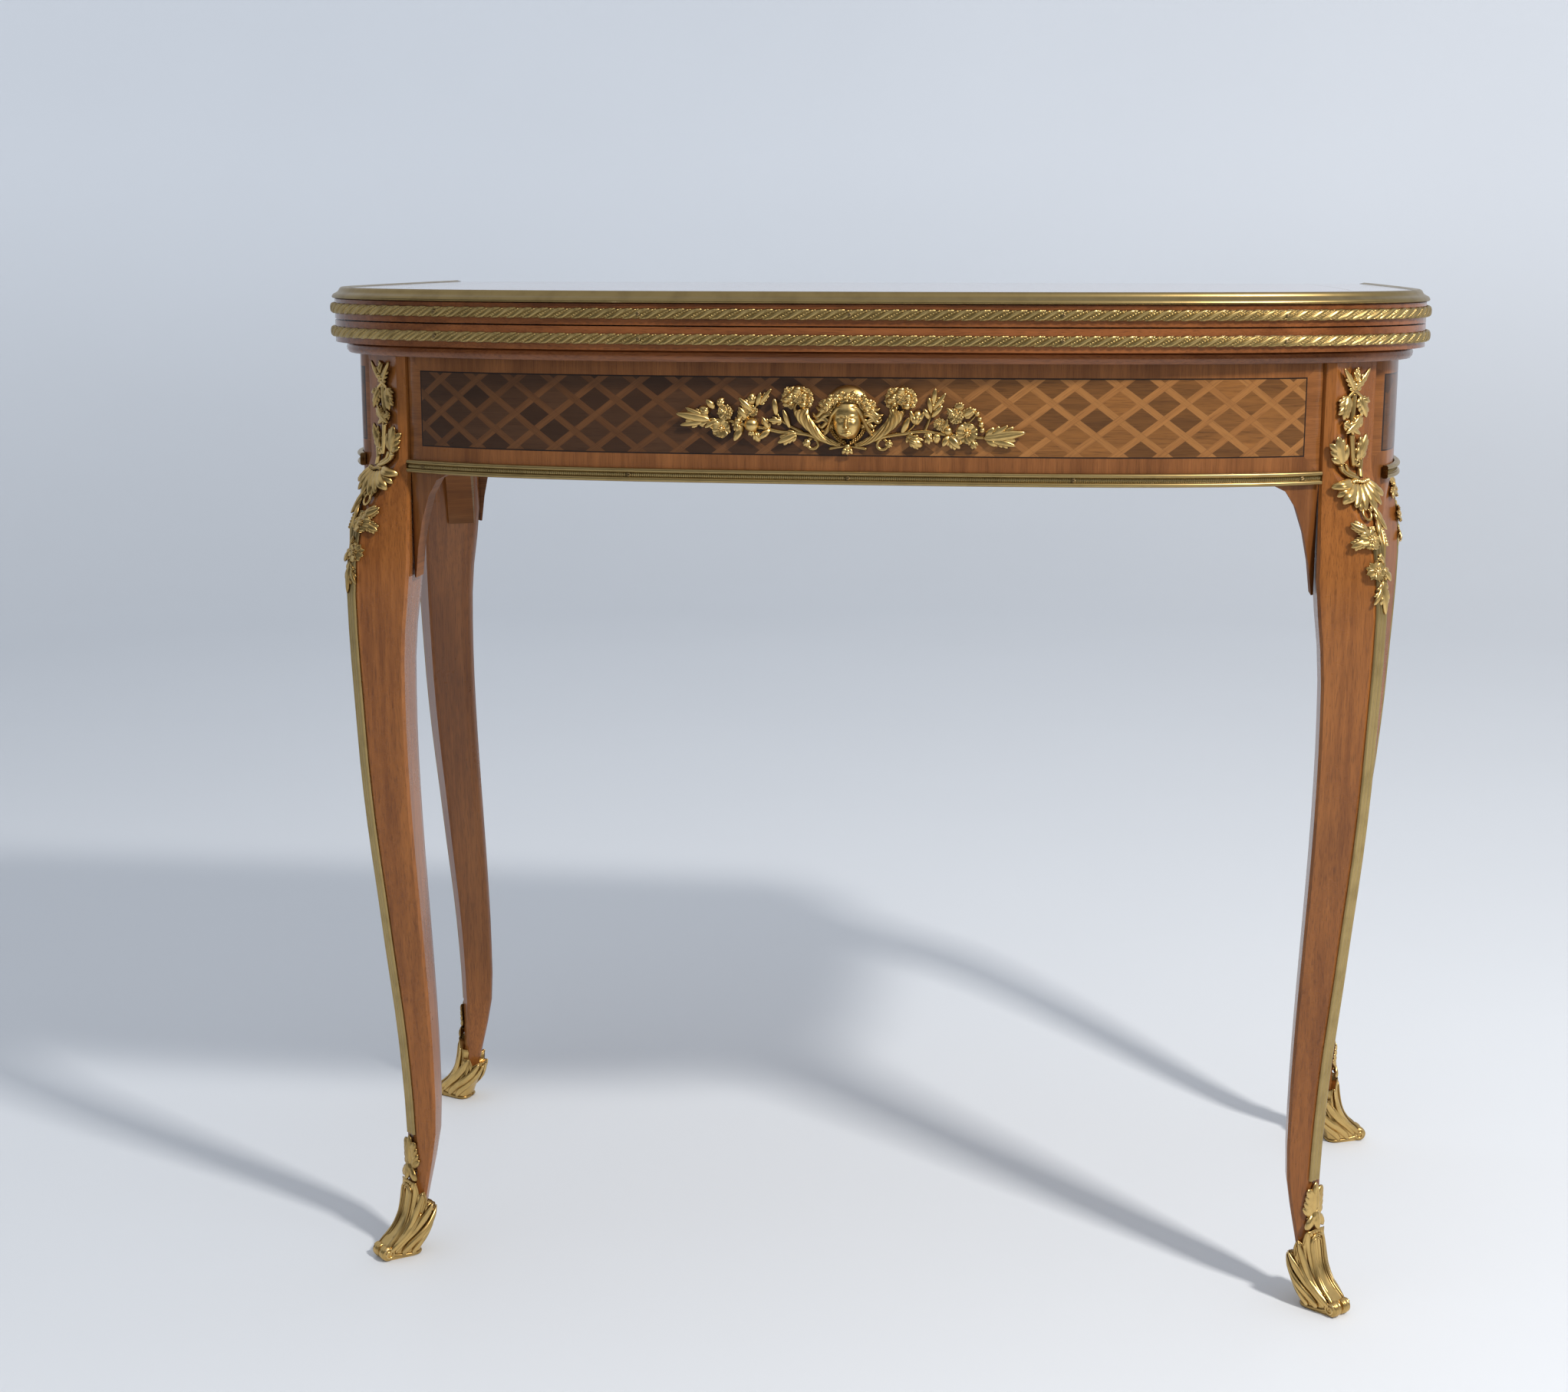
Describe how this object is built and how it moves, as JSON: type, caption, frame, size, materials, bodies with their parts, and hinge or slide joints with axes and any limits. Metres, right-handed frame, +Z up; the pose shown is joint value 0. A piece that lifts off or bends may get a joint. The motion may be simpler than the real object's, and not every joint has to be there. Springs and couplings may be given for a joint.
{
  "type": "games table",
  "caption": "Bow-fronted fold-over games table on cabriole legs; its hinged double top swivels over a shallow well and opens to a cloth playing surface.",
  "frame": {"origin": "on the floor, under the middle of the table", "axes": "+Z up, the bowed front faces -Y, +X to the right as seen from the front"},
  "size_m": [0.8794, 0.4636, 0.765],
  "materials": {
    "veneer": "french polished tulipwood and kingwood veneer",
    "oak": "plain inner timber",
    "gilt_bronze": "chased and gilt",
    "brass": "satin",
    "steel": "plain",
    "baize": "felted cloth"
  },
  "bodies": {
    "frame": {"back_bearer": "oak", "back_left_corner_mount": "gilt_bronze", "back_left_fillet": "gilt_bronze", "back_left_foot_leaf": "gilt_bronze", "back_left_leg": "veneer", "back_left_sabot": "gilt_bronze", "back_rail": "veneer", "back_right_corner_mount": "gilt_bronze", "back_right_fillet": "gilt_bronze", "back_right_foot_leaf": "gilt_bronze", "back_right_leg": "veneer", "back_right_sabot": "gilt_bronze", "front_apron": "veneer", "front_bearer": "oak", "front_left_corner_mount": "gilt_bronze", "front_left_fillet": "gilt_bronze", "front_left_foot_leaf": "gilt_bronze", "front_left_leg": "veneer", "front_left_sabot": "gilt_bronze", "front_mount": "gilt_bronze", "front_right_corner_mount": "gilt_bronze", "front_right_fillet": "gilt_bronze", "front_right_foot_leaf": "gilt_bronze", "front_right_leg": "veneer", "front_right_sabot": "gilt_bronze", "front_strip": "gilt_bronze", "left_apron": "veneer", "left_strip": "gilt_bronze", "pivot_rail": "oak", "right_apron": "veneer", "right_strip": "gilt_bronze", "stop_block": "oak", "well_floor": "oak"},
    "swivel_top": {"lower_leaf": "veneer", "under_moulding": "veneer", "lower_rope": "gilt_bronze", "lower_cloth": "baize", "left_hinge_lower": "brass", "right_hinge_lower": "brass", "left_hinge_pin": "steel", "right_hinge_pin": "steel", "pivot_bolt": "steel", "pivot_washer": "steel", "pivot_nut": "steel", "stop_peg": "brass"},
    "folding_leaf": {"upper_leaf": "veneer", "top_rim": "gilt_bronze", "upper_rope": "gilt_bronze", "upper_cloth": "baize", "left_hinge_upper": "brass", "right_hinge_upper": "brass"}
  },
  "joints": [
    {"name": "top_swivel", "type": "hinge", "parent": "frame", "child": "swivel_top", "pos_m": [0.11467, 0.11467, 0.7155], "axis": [0, 0, 1], "range_deg": [0, 90]},
    {"name": "leaf_fold", "type": "hinge", "parent": "swivel_top", "child": "folding_leaf", "pos_m": [0, 0.22935, 0.741], "axis": [-1, 0, 0], "range_deg": [0, 180]}
  ]
}
